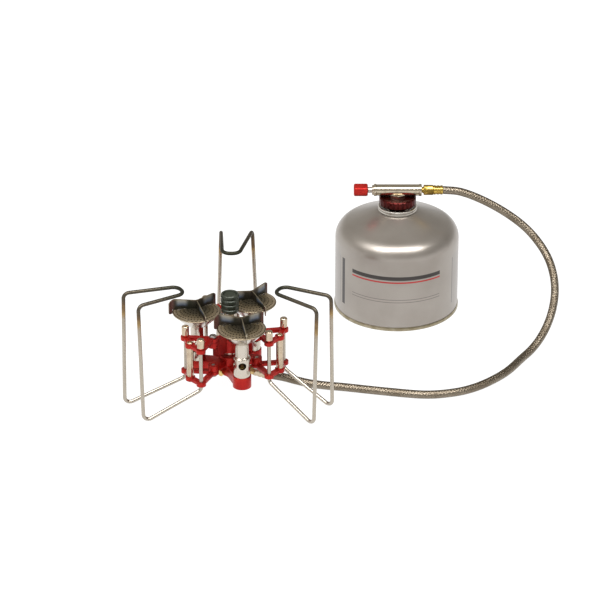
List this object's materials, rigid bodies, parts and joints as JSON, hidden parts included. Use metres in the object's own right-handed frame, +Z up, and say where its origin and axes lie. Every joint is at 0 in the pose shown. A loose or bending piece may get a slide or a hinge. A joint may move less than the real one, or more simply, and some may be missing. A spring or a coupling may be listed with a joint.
{
  "type": "canister stove",
  "caption": "Remote-canister camping stove: clustered burners on a red manifold, swinging wire legs that hold the pot, braided hose, valve and screw-on gas cartridge.",
  "frame": {"origin": "on the ground, under the middle of the stove manifold", "axes": "+Z up, +X towards the side where the cartridge and the hose lie, +Y towards the back leg"},
  "size_m": [0.3714, 0.2755, 0.1158],
  "materials": {
    "red_anodised": "bright satin red anodising",
    "dark_red_anodised": "deep glossy wine red anodising",
    "leg_wire_steel": "bright drawn wire, blued and browned near the pot",
    "turned_alloy": "fine turned, satin",
    "bowl_steel": "spun sheet, satin",
    "screen_steel": "pierced sheet with an olive heat tint",
    "blued_sheet": "dark blued sheet with brown and blue heat tints",
    "screw_steel": "plated",
    "brass_fittings": "bright turned",
    "nickel_plate": "bright warm nickel plate",
    "braided_steel": "fine crossed braid of bright wires",
    "black_plastic": "matt, ribbed",
    "white_ceramic": "glazed",
    "seal_rubber": "matt",
    "cartridge_paint": "satin silver lacquer",
    "cartridge_tinplate": "bright tinplate"
  },
  "bodies": {
    "stove": {"hub_block": "red_anodised", "hub_spider": "red_anodised", "adapter_collar": "dark_red_anodised", "hub_column": "turned_alloy", "rear_burner_tube": "turned_alloy", "left_burner_tube": "turned_alloy", "front_burner_tube": "turned_alloy", "rear_burner_bowl": "bowl_steel", "left_burner_bowl": "bowl_steel", "front_burner_bowl": "bowl_steel", "rear_burner_screen": "screen_steel", "left_burner_screen": "screen_steel", "front_burner_screen": "screen_steel", "rear_windshield": "blued_sheet", "left_windshield": "blued_sheet", "front_windshield": "blued_sheet", "pivot_screws": "screw_steel", "stem_gland": "screw_steel", "adapter_boss": "screw_steel", "pin_depressor": "screw_steel", "igniter_spring": "screw_steel", "channel_plugs": "brass_fittings", "gas_jets": "brass_fittings", "inlet_fitting": "brass_fittings", "hose_fitting": "brass_fittings", "hose_crimp": "brass_fittings", "valve_body": "nickel_plate", "inlet_ferrule": "nickel_plate", "gas_hose": "braided_steel", "igniter_body": "black_plastic", "igniter_collar": "black_plastic", "spark_lead": "black_plastic", "spark_electrode": "white_ceramic", "stem_seals": "seal_rubber", "canister_seal": "seal_rubber"},
    "left_leg": {"left_leg_wire": "leg_wire_steel", "left_leg_upper_plate": "red_anodised", "left_leg_lower_plate": "red_anodised", "left_leg_spacer": "turned_alloy", "left_leg_caps": "turned_alloy"},
    "right_leg": {"right_leg_wire": "leg_wire_steel", "right_leg_upper_plate": "red_anodised", "right_leg_lower_plate": "red_anodised", "right_leg_spacer": "turned_alloy", "right_leg_caps": "turned_alloy"},
    "rear_leg": {"rear_leg_wire": "leg_wire_steel", "rear_leg_upper_plate": "red_anodised", "rear_leg_lower_plate": "red_anodised", "rear_leg_spacer": "turned_alloy", "rear_leg_caps": "turned_alloy"},
    "valve_control": {"valve_stem": "screw_steel", "valve_knob": "red_anodised"},
    "igniter_push": {"igniter_button": "black_plastic"},
    "cartridge": {"canister_shell": "cartridge_paint", "canister_base": "cartridge_tinplate", "canister_valve_cup": "screw_steel", "canister_valve": "screw_steel"}
  },
  "joints": [
    {"name": "left_leg_swing", "type": "hinge", "parent": "stove", "child": "left_leg", "pos_m": [-0.01396, -0.017, 0.04], "axis": [0, 0, 1], "range_deg": [0, 40]},
    {"name": "right_leg_swing", "type": "hinge", "parent": "stove", "child": "right_leg", "pos_m": [0.0217, -0.00359, 0.04], "axis": [0, 0, 1], "range_deg": [0, 15]},
    {"name": "rear_leg_swing", "type": "hinge", "parent": "stove", "child": "rear_leg", "pos_m": [-0.00774, 0.02059, 0.04], "axis": [0, 0, 1], "range_deg": [0, 40]},
    {"name": "valve_turn", "type": "hinge", "parent": "stove", "child": "valve_control", "pos_m": [0.1428, 0.1588, 0.1105], "axis": [-1, 0, 0], "range_deg": [0, 540]},
    {"name": "cartridge_unscrew", "type": "hinge", "parent": "stove", "child": "cartridge", "pos_m": [0.1428, 0.1588, 0.09], "axis": [0, 0, -1], "range_deg": [0, 1260]},
    {"name": "igniter_press", "type": "slide", "parent": "stove", "child": "igniter_push", "axis": [0, 0, -1], "range_m": [0, 0.003], "stiffness_N_per_m": 600, "springref_m": -0.002, "deforming": ["igniter_spring"]}
  ]
}
